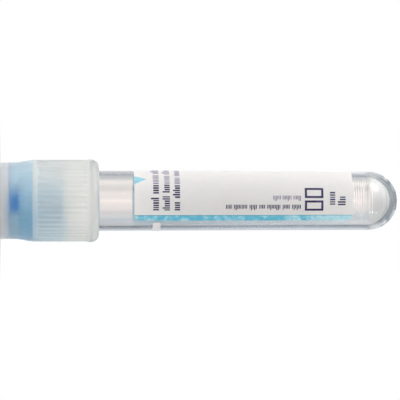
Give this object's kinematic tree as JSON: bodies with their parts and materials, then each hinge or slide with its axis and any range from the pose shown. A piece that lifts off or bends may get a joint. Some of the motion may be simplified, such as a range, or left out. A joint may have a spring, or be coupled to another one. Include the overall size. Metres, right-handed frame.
{
  "type": "blood collection tube",
  "caption": "Round-ended clear plastic sample tube with an inner liner, a wrap label, and a ribbed translucent cap that holds a rubber stopper.",
  "frame": {"origin": "centre of the shield's flat top face, on the surface that the tube stands on", "axes": "+Z along the tube from the shield to the round end; +X at the label's clear window; -Y faces the picture's camera"},
  "size_m": [0.0172, 0.0172, 0.083],
  "materials": {
    "shield_polyethylene": "satin, translucent",
    "stopper_rubber": "matte",
    "tube_pet": "clear, polished",
    "liner_polypropylene": "faintly cloudy",
    "label_paper": "matte, printed"
  },
  "bodies": {
    "closure": {"shield": "shield_polyethylene", "stopper": "stopper_rubber"},
    "tube": {"outer_tube": "tube_pet", "inner_tube": "liner_polypropylene", "label": "label_paper"}
  },
  "joints": [
    {"name": "tube_pull", "type": "slide", "parent": "closure", "child": "tube", "axis": [0, 0, 1], "range_m": [0, 0.03]}
  ]
}
